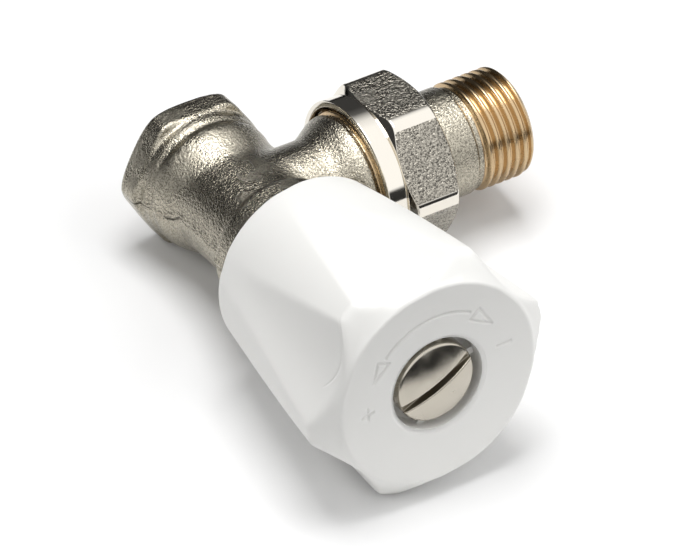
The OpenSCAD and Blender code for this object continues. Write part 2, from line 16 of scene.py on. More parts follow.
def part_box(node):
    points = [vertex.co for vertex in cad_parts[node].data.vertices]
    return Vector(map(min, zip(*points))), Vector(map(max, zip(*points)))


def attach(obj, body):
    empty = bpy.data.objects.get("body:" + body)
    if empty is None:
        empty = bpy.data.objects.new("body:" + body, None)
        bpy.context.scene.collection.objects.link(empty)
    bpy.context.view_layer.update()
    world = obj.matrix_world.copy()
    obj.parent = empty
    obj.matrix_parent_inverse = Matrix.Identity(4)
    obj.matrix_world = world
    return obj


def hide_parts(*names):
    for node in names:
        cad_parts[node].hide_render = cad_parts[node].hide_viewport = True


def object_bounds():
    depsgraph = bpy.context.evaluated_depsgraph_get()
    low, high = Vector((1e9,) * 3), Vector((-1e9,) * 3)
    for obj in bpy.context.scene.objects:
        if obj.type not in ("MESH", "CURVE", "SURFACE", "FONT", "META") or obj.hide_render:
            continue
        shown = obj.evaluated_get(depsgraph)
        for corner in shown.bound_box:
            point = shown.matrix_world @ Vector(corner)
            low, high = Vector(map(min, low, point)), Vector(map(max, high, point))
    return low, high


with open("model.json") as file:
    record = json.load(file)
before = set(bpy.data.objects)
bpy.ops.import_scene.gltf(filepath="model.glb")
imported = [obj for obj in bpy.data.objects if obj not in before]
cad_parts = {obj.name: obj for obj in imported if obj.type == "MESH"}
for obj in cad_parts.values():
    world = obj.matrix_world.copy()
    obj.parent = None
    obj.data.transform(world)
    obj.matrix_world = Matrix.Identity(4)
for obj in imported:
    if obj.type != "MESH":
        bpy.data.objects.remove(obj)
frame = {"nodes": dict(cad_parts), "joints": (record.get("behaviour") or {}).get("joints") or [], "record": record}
cad_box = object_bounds()

MM = 0.001
TURN = 2 * math.pi

mounts = {mount["name"]: mount for mount in frame["record"]["mounts"]}
joints = {joint["name"]: joint for joint in frame["joints"]}
CROSS_Y = joints["spindle_turn"]["pos_m"][1] / MM


def x_span(node):
    """Lowest and highest x of a node, in millimetres."""
    low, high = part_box(node)
    return low[0] / MM, high[0] / MM


def d_span(node):
    """Lowest and highest distance of a node along the spindle axis, in millimetres."""
    low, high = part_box(node)
    return CROSS_Y - high[1] / MM, CROSS_Y - low[1] / MM


def z_top(node):
    """Highest z of a node, in millimetres."""
    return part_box(node)[1][2] / MM


# Camera, as fitted to the edges of the object in the photograph
PHOTO_W = 680
PHOTO_H = 551
FOCAL_PX = 8000
CAMERA_AZIMUTH = -30.71
CAMERA_ELEVATION = 34.70
CAMERA_ROLL = 2.39
CAMERA_DISTANCE = 1435.7
# Pixel of the photograph at which the two axes cross
CROSSING_PX = (249.2, 216.6)
SENSOR_W = 36.0
CLIP_END = 20
# White table: radius in metres, corners of its rim, colour, and the light it adds where it is seen
TABLE_R = 0.15
TABLE_CORNERS = 96
TABLE_WHITE = (0.885, 0.885, 0.885, 1)
FLOOR_LIFT = 0.012
# Softboxes of the studio: name, direction from the valve, power in watts; metal mirrors only MIRRORED_LAMP
SOFTBOXES = (
    ("overhead", (0, 0, 1), 4.2), ("front_right", (0.5, -0.5, 0.7), 1.2), ("left", (-1, 0, 1), 1.25),
    ("back", (0, 1, 1), 0.4), ("low_front", (0.15, -0.9, 0.35), 1.1), ("low_right", (0.9, -0.1, 0.3), 0.85))
SOFTBOX_DISTANCE = 0.72
SOFTBOX_SIZE = 0.42
MIRRORED_LAMP = "overhead"
# Strength of the world's even light on matt surfaces
AMBIENT = 0.06
# The studio as metal mirrors it: a dark room with a bright window, which the narrowing of x makes wide
WINDOW_DIRECTION = (0.2, -0.65, 0.7)
WINDOW_NARROWING = (0.5, 1, 1)
WINDOW_STRENGTH = 1.25
ROOM_STRENGTH = 0.04
# Brightness from the far side (0) to the middle of the window (1), as (place, level)
WINDOW_STOPS = ((0.0, 0.04), (0.52, 0.04), (0.62, 0.10), (0.74, 0.80), (0.84, 1.0))
# Heights, as the sine of the elevation, between which the room turns dark below the window
HORIZON = (-0.02, 0.05)

# Places closer than this are one, and a rounding takes at most a side's length over CORNER_PARTS
MERGE_DISTANCE = 0.002
CORNER_PARTS = 2.1
# How far a grid reaches past its piece
GRID_MARGIN = 1

# Threads: pitch, depth, steepness of the flanks, and the share of the wave that the root takes
PIPE_PITCH = 1.814
PIPE_DEPTH = 1.0
FLANK_STEEPNESS = 1.25
ROOT_SHARE = 0.05

# Body
INLET_REACH = -d_span("valve_body")[0]
HEX_HALF = z_top("valve_body")
HEX_CORNER = 14.5
HEX_LENGTH = 5.4
# Where the chamfer of the mouth starts, as a share of the half width, and how steep it is
HEX_CHAMFER_START = 0.96
HEX_CHAMFER_SLOPE = 1.7
HEX_CORNER_ROUNDING = 0.8
HEX_CHAMFER_ROUNDING = 0.35
HEX_END_ROUNDING = 0.7
HEX_FILLET = 0.9
HEAD_FACE = d_span("valve_body")[1]
HEAD_START = 9.5
HEAD_R = 13.0
HEAD_ROUNDING = 0.9
HEAD_FILLET = 2.6
BARREL_R = 12.9
BARREL_ROUNDING = 0.8
# How far the barrel ends inside the hexagon and inside the head
BARREL_INSETS = (2, 1)
# Middle and length of the barrel's fall to the neck, and how much earlier it comes at the sides
BARREL_FALL = -7.6
BARREL_FALL_LENGTH = 8.0
BARREL_SIDE_DRAWBACK = 2.4
NECK_R = 10.8
GROOVE_AT = -13.4
GROOVE_DEPTH = 0.45
GROOVE_WIDTH = 0.9
BRANCH_R = 9.95
BRANCH_END_R = 12.6
BRANCH_FLARE = (13.5, 19.8)
BRANCH_END = 20.2
BRANCH_ROUNDING = 0.6
# Fillet between barrel and branch: least width, what it gains level with the axes, and how high that reaches
CROTCH_FILLET = 1.4
CROTCH_FILLET_GAIN = 5.4
CROTCH_FILLET_HEIGHT = 9
# The parting line of the forging: its height beside the inlet and the neck, and the stations of its climb
SEAM_LOW = -0.6
SEAM_HIGH = 1.0
SEAM_CLIMB = (-10, -5)
# How far it bends to and fro, and how quickly along the spindle axis
SEAM_BEND = 0.25
SEAM_BEND_RATES = (1.3, 0.45)
# Stations between which it begins, height and width of its step, and how fast that falls away above
SEAM_BEGIN = (-18, -16)
SEAM_RISE = 0.5
SEAM_STEP_WIDTH = 0.35
SEAM_FALL = 0.9
# How far the crease lies under the edge of the step, and its depth and width
SEAM_CREASE = 0.5
SEAM_CREASE_DEPTH = 0.28
SEAM_CREASE_WIDTH = 0.42
# The painted shade of the crease starts this far from the mouth; its half widths, full and faded, and what it
# leaves of the colour
SEAM_START = 3.0
SEAM_PAINTED_SHADE = (0.10, 0.32)
SEAM_PAINTED_SHADE_LEVEL = 0.22
# How far that line of painted shade wanders, and over what length
SEAM_WANDER = 1.2
SEAM_WANDER_LENGTH = 2.5
UNION_THREAD_R = 13.0
UNION_THREAD_RUNOUT = 0.8
UNION_FACE = x_span("valve_body")[1]
INLET_BORE_R = mounts["inlet_thread"]["dims"]["r_mm"]
INLET_THREAD_LENGTH = 12.0
INLET_THREAD_RUNOUT = 1.5
MOUTH_CHAMFER = 0.5
# Brings the field of a cone of 45 degrees near to a true distance
CONE_SCALE = 1.4
CHAMBER_R = 9.0
CHAMBER_FLOOR = -6.5
SEAT_R = 6.6
SEAT_FACE = -4.0
SEAT_HOLE_R = 5.0
SEAT_HOLE_END = SEAT_FACE + 1
PASSAGE_R = 7.0
PASSAGE_END = CHAMBER_FLOOR - 1.5
OUTLET_BORE_R = 6.5
BORE_ROUNDING = 0.25
# Bare brass: this close to a bore, and beyond these places at the branch and at the head
BARE_DEPTH = 0.12
BARE_BRANCH = BRANCH_END + 0.35
BARE_HEAD = HEAD_FACE - 0.15
CASTING_STEP = 0.37

# Union nut
NUT_BACK, NUT_FACE = x_span("union_nut")
NUT_HALF = z_top("union_nut")
NUT_CORNER = 16.5
NUT_COLLAR_R = 15.0
NUT_HEX_START = 24.4
# Where the hexagon's chamfers start, as a share of the half width, and their length over their height
NUT_CHAMFER_START = 0.96
NUT_CHAMFER_LENGTH = 0.58
NUT_CORNER_ROUNDING = 0.5
NUT_BORE_R = 13.1
NUT_MOUTH_CHAMFER = 0.7
# Station at which the thread has faded before the lip, and the length over which it fades
NUT_THREAD_FADE = (3, 1.2)
# Station of the lip that draws the tail in, and its inner radius
NUT_LIP = (33.2, 10.7)
NUT_ROUNDINGS = (0.1, 0.3, 0.25, 0.2, 0.35, 0.35, 0.3, 0.3, 0.1, 0.2)
NUT_THREAD_ROWS = 56
NUT_SEGMENTS = 432
# The forging skin covers what lies this close to a flat, and away from the edges of the hexagon
NUT_SKIN_DEPTH = 0.12
NUT_SKIN_MARGIN = 0.1
NUT_BARE_DEPTH = 0.3

# Tailpiece
TAIL_START, TAIL_END = x_span("tailpiece")
TAIL_THREAD_R = mounts["tail_thread"]["dims"]["r_mm"]
TAIL_THREAD_START = 43.7
TAIL_THREAD_RUNIN = 0.9
TAIL_THREAD_ROWS = 84
TAIL_SEGMENTS = 240
# How far the thread's end is turned down, and the rounding there
TAIL_END_DROP = 0.8
TAIL_END_ROUNDING = 0.25
# The plating runs over the start of the thread
TAIL_BARE_START = 44.2
TAIL_COLLAR_R = 10.3
SHOULDER_R = 12.6
SHOULDER_END = 33.05
TAIL_ROUNDINGS = (0.3, 0.3, 0.3, 0.2, 0.4)
TAIL_BORE_R = 7.0
TAIL_BARE_DEPTH = 0.8
TAIL_SOCKET_HALF = 6.3
TAIL_SOCKET_DEPTH = 8.0

# Handwheel
KNOB_REAR, KNOB_FACE = d_span("knob")
KNOB_LENGTH = KNOB_FACE - KNOB_REAR
KNOB_REAR_R = 17.7
KNOB_CORNER_R = 24.45
KNOB_FACE_R = 19.6
KNOB_FRONT_LENGTH = 4.2
KNOB_CORNER_TURN = 9.5
# Half of the angle that a side takes up at the widest place, and how far its middle is hollowed
KNOB_SIDE_TURN = 25.3
KNOB_SIDE_HOLLOW = 1.7
# How fast that angle and that hollow grow from the rear, as powers of the distance
KNOB_SIDE_GROWTH = (0.65, 1.3)
# Roundings where cone and sides meet and where the front cone begins, and the rows along the outside
KNOB_SIDE_ROUNDING = 0.5
KNOB_FRONT_ROUNDING = 0.9
KNOB_EDGE = 0.6
KNOB_ROWS = 54
KNOB_FACE_ROWS = 60
KNOB_SEGMENTS = 480
# Faint crease near the front of each side: its foremost station, its bow, its middle and half in degrees
CREASE_AT = 42.4
CREASE_BOW = 3.2
CREASE_TURN = -10
CREASE_HALF = 19
CREASE_DEPTH = 0.14
CREASE_WIDTH = 0.28
KNOB_CAVITY_R = 18.3
KNOB_RIM_R = 0.7
KNOB_WALL = 2.2
KNOB_FRONT_WALL = 3.0
RECESS_R = 9.2
RECESS_DEPTH = 4.6
RECESS_WALL = 2.0
KNOB_INSIDE_ROUNDINGS = (0.5, 0.3, 0.0, 0.0, 0.0, 0.0, 0.3, 0.5, 0.3, 0.3, 0.8, 0.3)
HUB_START = 45.5
HUB_R = 8.2
INSERT_R = 6.2
INSERT_LENGTH = 8.0
RIB_START = 49.0
RIB_WIDTH = 1.4
RIB_TURN = 15
# How deep the ribs reach into the walls round them, and how far their long edges are set back
RIB_OVERLAP = 0.3
RIB_ROUNDING = 0.25

# Handwheel screw
SCREW_SEAT = 58.9
SCREW_HEAD_R = 7.8
SCREW_EDGE = 3.4
SCREW_DOME = 1.3
SCREW_TOP = SCREW_SEAT + SCREW_EDGE + SCREW_DOME
SCREW_SLOT_WIDTH = 1.5
SCREW_SLOT_DEPTH = 1.9
SCREW_SLOT_TURN = 25
# Roundings of the head's rim, of its dome, of the slot's floor and of the slot's edges
SCREW_RIM_ROUNDING = 0.25
SCREW_DOME_ROUNDING = 0.5
SCREW_SLOT_ROUNDING = 0.15
SCREW_SLOT_EDGE = 0.25
SCREW_SHANK_R = 2.5
SCREW_HOLE_R = SCREW_SHANK_R + 0.1
SCREW_SHANK_LENGTH = 14.0
SCREW_STEP = 0.17

# Marks pressed into the face of the handwheel, as strokes between (radius, turn in degrees)
MARKED_FACE_R = 17.2
MARK_WIDTH = 0.5
MARK_DEPTH = 0.3
MARK_SLOPE = 0.3
MARK_ARC = (14.25, 60, 138.5)
MARK_STROKES = (
    ((12.8, 58), (15.3, 55)), ((15.3, 55), (14.1, 37)), ((14.1, 37), (12.8, 58)),
    ((12.9, 140), (15.3, 143)), ((15.3, 143), (14.2, 158)), ((14.2, 158), (12.9, 140)),
    ((12.6, 14.5), (15.4, 12.3)),
    ((13.4, 182), (15.6, 184)), ((14.6, 178.5), (14.6, 187.5)))


def to_frame(points):
    """Places (x, d, z) in millimetres to the frame's metres."""
    points = np.asarray(points, dtype=float)
    return np.stack([points[:, 0], CROSS_Y - points[:, 1], points[:, 2]], axis=1) * MM


def mesh_object(name, points, faces, materials, face_slots=None, smooth=True):
    """Object from places (x, d, z), with its faces turned outward."""
    mesh = bpy.data.meshes.new(name)
    mesh.from_pydata(to_frame(points).tolist(), [], [list(face) for face in faces])
    for material in materials:
        mesh.materials.append(material)
    if face_slots is not None:
        mesh.polygons.foreach_set("material_index", face_slots)
    work = bmesh.new()
    work.from_mesh(mesh)
    bmesh.ops.remove_doubles(work, verts=work.verts, dist=MERGE_DISTANCE * MM)
    bmesh.ops.recalc_face_normals(work, faces=work.faces)
    for face in work.faces:
        face.smooth = smooth
    work.to_mesh(mesh)
    work.free()
    item = bpy.data.objects.new(name, mesh)
    bpy.context.scene.collection.objects.link(item)
    return item


def even_shading(item):
    """Gives the large faces the say over the normals beside small rounded edges."""
    item.modifiers.new("even_shading", "WEIGHTED_NORMAL").keep_sharp = True


def rounded(points, radii, steps=4):
    """Outline with each corner replaced by a curve that starts at its radius from the corner."""
    made = []
    count = len(points)
    for i, (point, radius) in enumerate(zip(points, radii)):
        here = np.array(point, dtype=float)
        if radius == 0:
            made.append(here)
            continue
        before = np.array(points[i - 1], dtype=float) - here
        after = np.array(points[(i + 1) % count], dtype=float) - here
        start = here + before / np.hypot(*before) * min(radius, np.hypot(*before) / CORNER_PARTS)
        end = here + after / np.hypot(*after) * min(radius, np.hypot(*after) / CORNER_PARTS)
        for k in range(steps + 1):
            t = k / steps
            made.append((1 - t) ** 2 * start + 2 * t * (1 - t) * here + t ** 2 * end)
    return np.array(made)


def spun(outline_at, segments, along):
    """Places and quads of a closed outline carried round an axis.

    outline_at(angle) gives rows of (station, radius). along is "spindle", with the angle from x
    towards z, or "outlet", with the angle from the inlet side towards z.
    """
    columns = np.array([outline_at(TURN * i / segments) for i in range(segments)])
    rows = columns.shape[1]
    angle = TURN * np.arange(segments)[:, None] / segments
    station, radius = columns[..., 0], columns[..., 1]
    if along == "spindle":
        points = np.stack([radius * np.cos(angle), station, radius * np.sin(angle)], axis=-1)
    else:
        points = np.stack([station, -radius * np.cos(angle), radius * np.sin(angle)], axis=-1)
    i, k = np.meshgrid(np.arange(segments), np.arange(rows), indexing="ij")
    i2, k2 = (i + 1) % segments, (k + 1) % rows
    quads = np.stack([i * rows + k, i2 * rows + k, i2 * rows + k2, i * rows + k2], axis=-1)
    return points.reshape(-1, 3), quads.reshape(-1, 4)


def smooth_step(value):
    """Smooth rise from 0 to 1."""
    value = np.clip(value, 0, 1)
    return value * value * (3 - 2 * value)


def thread_wave(station, angle):
    """1 on the crests and 0 in the roots of a right-handed pipe thread."""
    share = (station / PIPE_PITCH - angle / TURN) % 1
    return smooth_step(FLANK_STEEPNESS * (1 - np.abs(2 * share - 1)) - ROOT_SHARE)


def soft_min(a, b, width):
    """Smaller of two distances, with a fillet of about the given width where they meet."""
    near = np.clip(1 - np.abs(a - b) / width, 0, None)
    return np.minimum(a, b) - near * near * width / 4


def soft_max(a, b, width):
    """Larger of two distances, with a rounded edge of about the given width."""
    return -soft_min(-a, -b, width)


def cylinder_field(radius_here, station, radius, low, high, edge):
    """Distance to a cylinder between two stations, with rounded edges."""
    return soft_max(radius_here - radius, soft_max(station - high, low - station, edge), edge)


def surface_net(field, low, high, step):
    """Places and quads of the zero surface of a field that is negative inside."""
    axes = [np.arange(low[i], high[i] + step, step) for i in range(3)]
    grid = np.stack(np.meshgrid(*axes, indexing="ij"), axis=-1)
    value = field(grid.reshape(-1, 3)).reshape(grid.shape[:3])
    shape = value.shape
    total = np.zeros(tuple(n - 1 for n in shape) + (3,))
    count = np.zeros(tuple(n - 1 for n in shape))
    for axis in range(3):
        first, second = [i for i in range(3) if i != axis]
        for a, b in ((0, 0), (0, 1), (1, 0), (1, 1)):
            near = [slice(0, n - 1) for n in shape]
            near[first] = slice(a, shape[first] - 1 + a)
            near[second] = slice(b, shape[second] - 1 + b)
            far = list(near)
            far[axis] = slice(1, shape[axis])
            start, end = value[tuple(near)], value[tuple(far)]
            crosses = (start < 0) != (end < 0)
            place = np.zeros(crosses.shape + (3,))
            place[..., axis] = start / np.where(crosses, start - end, 1)
            place[..., first] = a
            place[..., second] = b
            total += place * crosses[..., None]
            count += crosses
    active = count > 0
    index = np.full(active.shape, -1)
    index[active] = np.arange(active.sum())
    points = np.array(low) + step * (np.argwhere(active) + total[active] / count[active][:, None])
    quads = []
    for axis in range(3):
        steps = np.eye(3, dtype=int)
        first, second = steps[(axis + 1) % 3], steps[(axis + 2) % 3]
        near = [slice(1, n - 1) for n in shape]
        near[axis] = slice(0, shape[axis] - 1)
        far = list(near)
        far[axis] = slice(1, shape[axis])
        changed = (value[tuple(near)] < 0) != (value[tuple(far)] < 0)
        at = np.argwhere(changed) + 1 - steps[axis]
        corners = [index[tuple(c.T)] for c in (at, at - first, at - first - second, at - second)]
        quads.append(np.stack(corners, axis=1))
    return points, np.concatenate(quads)


def settled(field, points, limit, probe=0.02, rounds=3):
    """Places moved onto the field's zero surface, by no more than a limit in each round."""
    for _ in range(rounds):
        slope = np.stack([(field(points + probe * e) - field(points - probe * e)) / (2 * probe)
                          for e in np.eye(3)], axis=1)
        move = slope * (field(points) / np.maximum((slope ** 2).sum(axis=1), 0.2))[:, None]
        size = np.maximum(np.linalg.norm(move, axis=1, keepdims=True), 1e-9)
        points = points - move * np.minimum(1, limit / size)
    return points


# Materials

# Levels of the noise at which a cast skin is all crevice, darkened as painted shade, and all grain
CREVICE_TO_GRAIN = (0.40, 0.54)


def node_adder(tree):
    """Function that adds a node to a tree, with its inputs set or linked."""
    def add(kind, inputs=None, **settings):
        node = tree.nodes.new(kind)
        for key, value in settings.items():
            setattr(node, key, value)
        for key, value in (inputs or {}).items():
            if isinstance(value, bpy.types.NodeSocket):
                tree.links.new(value, node.inputs[key])
            else:
                node.inputs[key].default_value = value
        return node

    return add


def new_material(name):
    """Material with its tree and shader, and the function that adds its nodes."""
    material = bpy.data.materials.new(name)
    material.use_nodes = True
    tree = material.node_tree
    return material, tree, tree.nodes["Principled BSDF"], node_adder(tree)


def cast_metal(name, colour, grain=0.25, relief=0.095, low=0.20, high=0.32, dark=0.40):
    """Blasted forging skin under a thin plating: bright grain of a size in millimetres, and crevices darkened by
    painted shade.
    """
    material, tree, shader, add = new_material(name)
    place = add("ShaderNodeTexCoord").outputs["Object"]
    coarse = add("ShaderNodeTexNoise", {"Vector": place, "Scale": 1 / (grain * MM), "Detail": 2.0,
                                        "Roughness": 0.55, "Distortion": 0.6})
    pits = add("ShaderNodeTexVoronoi", {"Vector": place, "Scale": 1 / (1.9 * grain * MM)},
               feature="SMOOTH_F1")
    patch = add("ShaderNodeTexNoise", {"Vector": place, "Scale": 1 / (7 * MM), "Detail": 2.0})
    # The darker colour in the low places of the noise is painted shade in the crevices
    tone = add("ShaderNodeValToRGB", {"Fac": coarse.outputs["Fac"]})
    for element, position, share in zip(tone.color_ramp.elements, CREVICE_TO_GRAIN, (dark, 1)):
        element.position = position
        element.color = (*[share * c for c in colour], 1)
    tree.links.new(tone.outputs["Color"], shader.inputs["Base Color"])
    gloss = add("ShaderNodeMapRange", {"Value": patch.outputs["Fac"], "From Min": 0.3, "From Max": 0.7,
                                       "To Min": low, "To Max": high})
    tree.links.new(gloss.outputs["Result"], shader.inputs["Roughness"])
    height = add("ShaderNodeMath", {0: coarse.outputs["Fac"], 1: pits.outputs["Distance"]}, operation="ADD")
    bump = add("ShaderNodeBump", {"Height": height.outputs["Value"], "Strength": 1.0,
                                  "Distance": relief * MM})
    tree.links.new(bump.outputs["Normal"], shader.inputs["Normal"])
    shader.inputs["Metallic"].default_value = 1.0
    return material


def turned_metal(name, colour, axis, roughness=0.10, line=0.16, relief=0.004, waviness=0.6):
    """Turned metal with fine rings around an axis, 0 for x and 1 for y."""
    material, tree, shader, add = new_material(name)
    place = add("ShaderNodeTexCoord").outputs["Object"]
    stretch = [40.0, 40.0, 40.0]
    stretch[axis] = 1 / (line * MM)
    fine = add("ShaderNodeMapping", {"Vector": place, "Scale": stretch})
    rings = add("ShaderNodeTexNoise", {"Vector": fine.outputs["Vector"], "Scale": 1.0, "Detail": 4.0,
                                       "Roughness": 0.7})
    patch = add("ShaderNodeTexNoise", {"Vector": place, "Scale": 1 / (4 * MM), "Detail": 3.0})
    gloss = add("ShaderNodeMapRange", {"Value": patch.outputs["Fac"], "From Min": 0.3, "From Max": 0.7,
                                       "To Min": roughness * (1 - waviness / 2),
                                       "To Max": roughness * (1 + waviness)})
    tree.links.new(gloss.outputs["Result"], shader.inputs["Roughness"])
    bump = add("ShaderNodeBump", {"Height": rings.outputs["Fac"], "Strength": 1.0,
                                  "Distance": relief * MM})
    tree.links.new(bump.outputs["Normal"], shader.inputs["Normal"])
    shader.inputs["Base Color"].default_value = (*colour, 1)
    shader.inputs["Metallic"].default_value = 1.0
    return material


def moulded_plastic(name, colour, roughness=0.42):
    """Satin moulded plastic with a very fine skin and slow, faint unevenness."""
    material, tree, shader, add = new_material(name)
    place = add("ShaderNodeTexCoord").outputs["Object"]
    skin = add("ShaderNodeTexNoise", {"Vector": place, "Scale": 1 / (0.22 * MM), "Detail": 2.0})
    slow = add("ShaderNodeTexNoise", {"Vector": place, "Scale": 1 / (14 * MM), "Detail": 1.0})
    gloss = add("ShaderNodeMapRange", {"Value": slow.outputs["Fac"], "From Min": 0.3, "From Max": 0.7,
                                       "To Min": roughness - 0.04, "To Max": roughness + 0.05})
    tree.links.new(gloss.outputs["Result"], shader.inputs["Roughness"])
    bump = add("ShaderNodeBump", {"Height": skin.outputs["Fac"], "Strength": 0.35,
                                  "Distance": 0.012 * MM})
    tree.links.new(bump.outputs["Normal"], shader.inputs["Normal"])
    shader.inputs["Base Color"].default_value = (*colour, 1)
    shader.inputs["Subsurface Weight"].default_value = 0.08
    shader.inputs["Subsurface Radius"].default_value = (1.2 * MM, 1.2 * MM, 1.2 * MM)
    return material


def soft_rubber(name):
    """Dull black rubber with a fine matt skin."""
    material, tree, shader, add = new_material(name)
    place = add("ShaderNodeTexCoord").outputs["Object"]
    skin = add("ShaderNodeTexNoise", {"Vector": place, "Scale": 1 / (0.3 * MM), "Detail": 3.0})
    bump = add("ShaderNodeBump", {"Height": skin.outputs["Fac"], "Strength": 0.5,
                                  "Distance": 0.02 * MM})
    tree.links.new(bump.outputs["Normal"], shader.inputs["Normal"])
    shader.inputs["Base Color"].default_value = (0.025, 0.025, 0.027, 1)
    shader.inputs["Roughness"].default_value = 0.7
    return material


def paint_parting_line_shade(material):
    """Paints shade on the skin in a thin wandering line, along the crease of the parting line on the left side."""
    tree = material.node_tree
    add = node_adder(tree)

    def computed(operation, first, second=0.0):
        return add("ShaderNodeMath", {0: first, 1: second}, operation=operation).outputs["Value"]

    place = add("ShaderNodeTexCoord").outputs["Object"]
    split = add("ShaderNodeSeparateXYZ", {"Vector": place}).outputs
    climb = [(CROSS_Y - d) * MM for d in SEAM_CLIMB]
    line = add("ShaderNodeMapRange", {
        "Value": split["Y"], "From Min": climb[0], "From Max": climb[1],
        "To Min": (SEAM_LOW - SEAM_CREASE) * MM, "To Max": (SEAM_HIGH - SEAM_CREASE) * MM},
        interpolation_type="SMOOTHSTEP").outputs["Result"]
    wander = add("ShaderNodeTexNoise", {"Vector": place, "Scale": 1 / (SEAM_WANDER_LENGTH * MM)})
    bend = computed("MULTIPLY", computed("SUBTRACT", wander.outputs["Fac"], 0.5), SEAM_WANDER * MM)
    gap = computed("ABSOLUTE", computed("SUBTRACT", split["Z"], computed("ADD", line, bend)))
    shade = add("ShaderNodeMapRange", {
        "Value": gap, "From Min": SEAM_PAINTED_SHADE[0] * MM, "From Max": SEAM_PAINTED_SHADE[1] * MM,
        "To Min": SEAM_PAINTED_SHADE_LEVEL, "To Max": 1.0}).outputs["Result"]
    on_right = computed("GREATER_THAN", split["X"], 0.0)
    on_mouth = computed("GREATER_THAN", split["Y"], -SEAM_START * MM)
    shade = computed("MAXIMUM", shade, computed("MAXIMUM", on_right, on_mouth))
    base = tree.nodes["Principled BSDF"].inputs["Base Color"]
    skin = base.links[0].from_socket
    darker = add("ShaderNodeVectorMath", {0: skin, "Scale": shade}, operation="SCALE")
    tree.links.new(darker.outputs["Vector"], base)


NICKEL = (0.53, 0.49, 0.40)
BRIGHT_NICKEL = (0.80, 0.76, 0.685)
BRASS = (0.57, 0.42, 0.25)

# The dark share of each cast skin's colour lies in its crevices, as painted shade
cast_nickel = cast_metal("cast_nickel", NICKEL)
body_nickel = cast_metal("body_nickel", NICKEL)
# The dark line along the parting line's crease is painted shade in the body's colour
paint_parting_line_shade(body_nickel)
# The nut's skin is a darker copy of the cast nickel, with darker crevices: painted shade
nut_cast = cast_metal("nut_cast", (0.47, 0.44, 0.38), grain=0.33, relief=0.19, dark=0.26)
collar_nickel = turned_metal("collar_nickel", BRIGHT_NICKEL, 0, roughness=0.07)
spindle_nickel = turned_metal("spindle_nickel", BRIGHT_NICKEL, 1, roughness=0.16)
# The screw's nickel is darker than the other turned nickel: painted shade
screw_nickel_painted_shade = turned_metal("screw_nickel_painted_shade", (0.50, 0.465, 0.40), 0, roughness=0.18, line=0.28, relief=0.022)
# Darker nickel in the screw's slot: painted shade of the recess
slot_nickel_painted_shade = turned_metal("slot_nickel_painted_shade", (0.27, 0.245, 0.20), 0, roughness=0.35, line=0.35, relief=0.01)
brass_outlet = turned_metal("brass_outlet", BRASS, 0, roughness=0.20)
brass_spindle = turned_metal("brass_spindle", BRASS, 1, roughness=0.22)
steel = turned_metal("steel", (0.60, 0.60, 0.61), 1, roughness=0.25)
white_plastic = moulded_plastic("white_plastic", (0.885, 0.88, 0.855))
rubber = soft_rubber("rubber")


# Body


def hexagon_half(first, second, turn):
    """Largest distance across the three pairs of flats, at a turn in degrees."""
    values = []
    for i in range(3):
        angle = math.radians(turn + 60 * i)
        values.append(np.abs(first * math.cos(angle) + second * math.sin(angle)))
    return np.maximum(np.maximum(values[0], values[1]), values[2])


def seam_rise(d, z):
    """Rise at the forging's parting line: it falls away slowly above, with a step and a crease below."""
    climb = smooth_step((d - SEAM_CLIMB[0]) / (SEAM_CLIMB[1] - SEAM_CLIMB[0]))
    line = SEAM_LOW + (SEAM_HIGH - SEAM_LOW) * climb
    line = line + SEAM_BEND * np.sin(SEAM_BEND_RATES[0] * d) * np.sin(SEAM_BEND_RATES[1] * d)
    above = np.exp(-np.clip(z - line, 0, None) / SEAM_FALL)
    step = SEAM_RISE * above * smooth_step((z - line + SEAM_STEP_WIDTH) / SEAM_STEP_WIDTH)
    crease = SEAM_CREASE_DEPTH * np.exp(-((z - line + SEAM_CREASE) / SEAM_CREASE_WIDTH) ** 2)
    return (step - crease) * smooth_step((d - SEAM_BEGIN[0]) / (SEAM_BEGIN[1] - SEAM_BEGIN[0]))


def casting_outside(points):
    """Field of the forging's outer skin, before the bores."""
    x, d, z = points.T
    spindle_r = np.hypot(x, z)
    outlet_r = np.hypot(d, z)
    side = x * x / np.maximum(spindle_r ** 2, 1e-6)
    fall = smooth_step((d - BARREL_FALL + BARREL_SIDE_DRAWBACK * side) / BARREL_FALL_LENGTH + 0.5)
    barrel_r = BARREL_R + (NECK_R - BARREL_R) * fall
    barrel_r = barrel_r - GROOVE_DEPTH * np.exp(-((d - GROOVE_AT) / GROOVE_WIDTH) ** 2)
    barrel = cylinder_field(spindle_r, d, barrel_r, BARREL_INSETS[0] - INLET_REACH,
                            HEAD_FACE - BARREL_INSETS[1], BARREL_ROUNDING)
    head = cylinder_field(spindle_r, d, HEAD_R, HEAD_START, HEAD_FACE, HEAD_ROUNDING)
    flare = smooth_step((x - BRANCH_FLARE[0]) / (BRANCH_FLARE[1] - BRANCH_FLARE[0]))
    branch_r = BRANCH_R + (BRANCH_END_R - BRANCH_R) * flare
    branch = cylinder_field(outlet_r, x, branch_r, 0, BRANCH_END, BRANCH_ROUNDING)
    level = 1 - smooth_step(np.abs(z) / CROTCH_FILLET_HEIGHT)
    body = soft_min(barrel, branch, CROTCH_FILLET + CROTCH_FILLET_GAIN * level)
    body = soft_min(body, head, HEAD_FILLET)
    body = body - seam_rise(d, z)
    hexagon = soft_max(hexagon_half(x, z, 30) - HEX_HALF, spindle_r - HEX_CORNER, HEX_CORNER_ROUNDING)
    chamfer = spindle_r - HEX_HALF * HEX_CHAMFER_START
    chamfer = (chamfer + (-INLET_REACH - d) * HEX_CHAMFER_SLOPE) / 2
    hexagon = soft_max(hexagon, chamfer, HEX_CHAMFER_ROUNDING)
    ends = np.maximum(-INLET_REACH - d, d + INLET_REACH - HEX_LENGTH)
    hexagon = soft_max(hexagon, ends, HEX_END_ROUNDING)
    return soft_min(body, hexagon, HEX_FILLET)


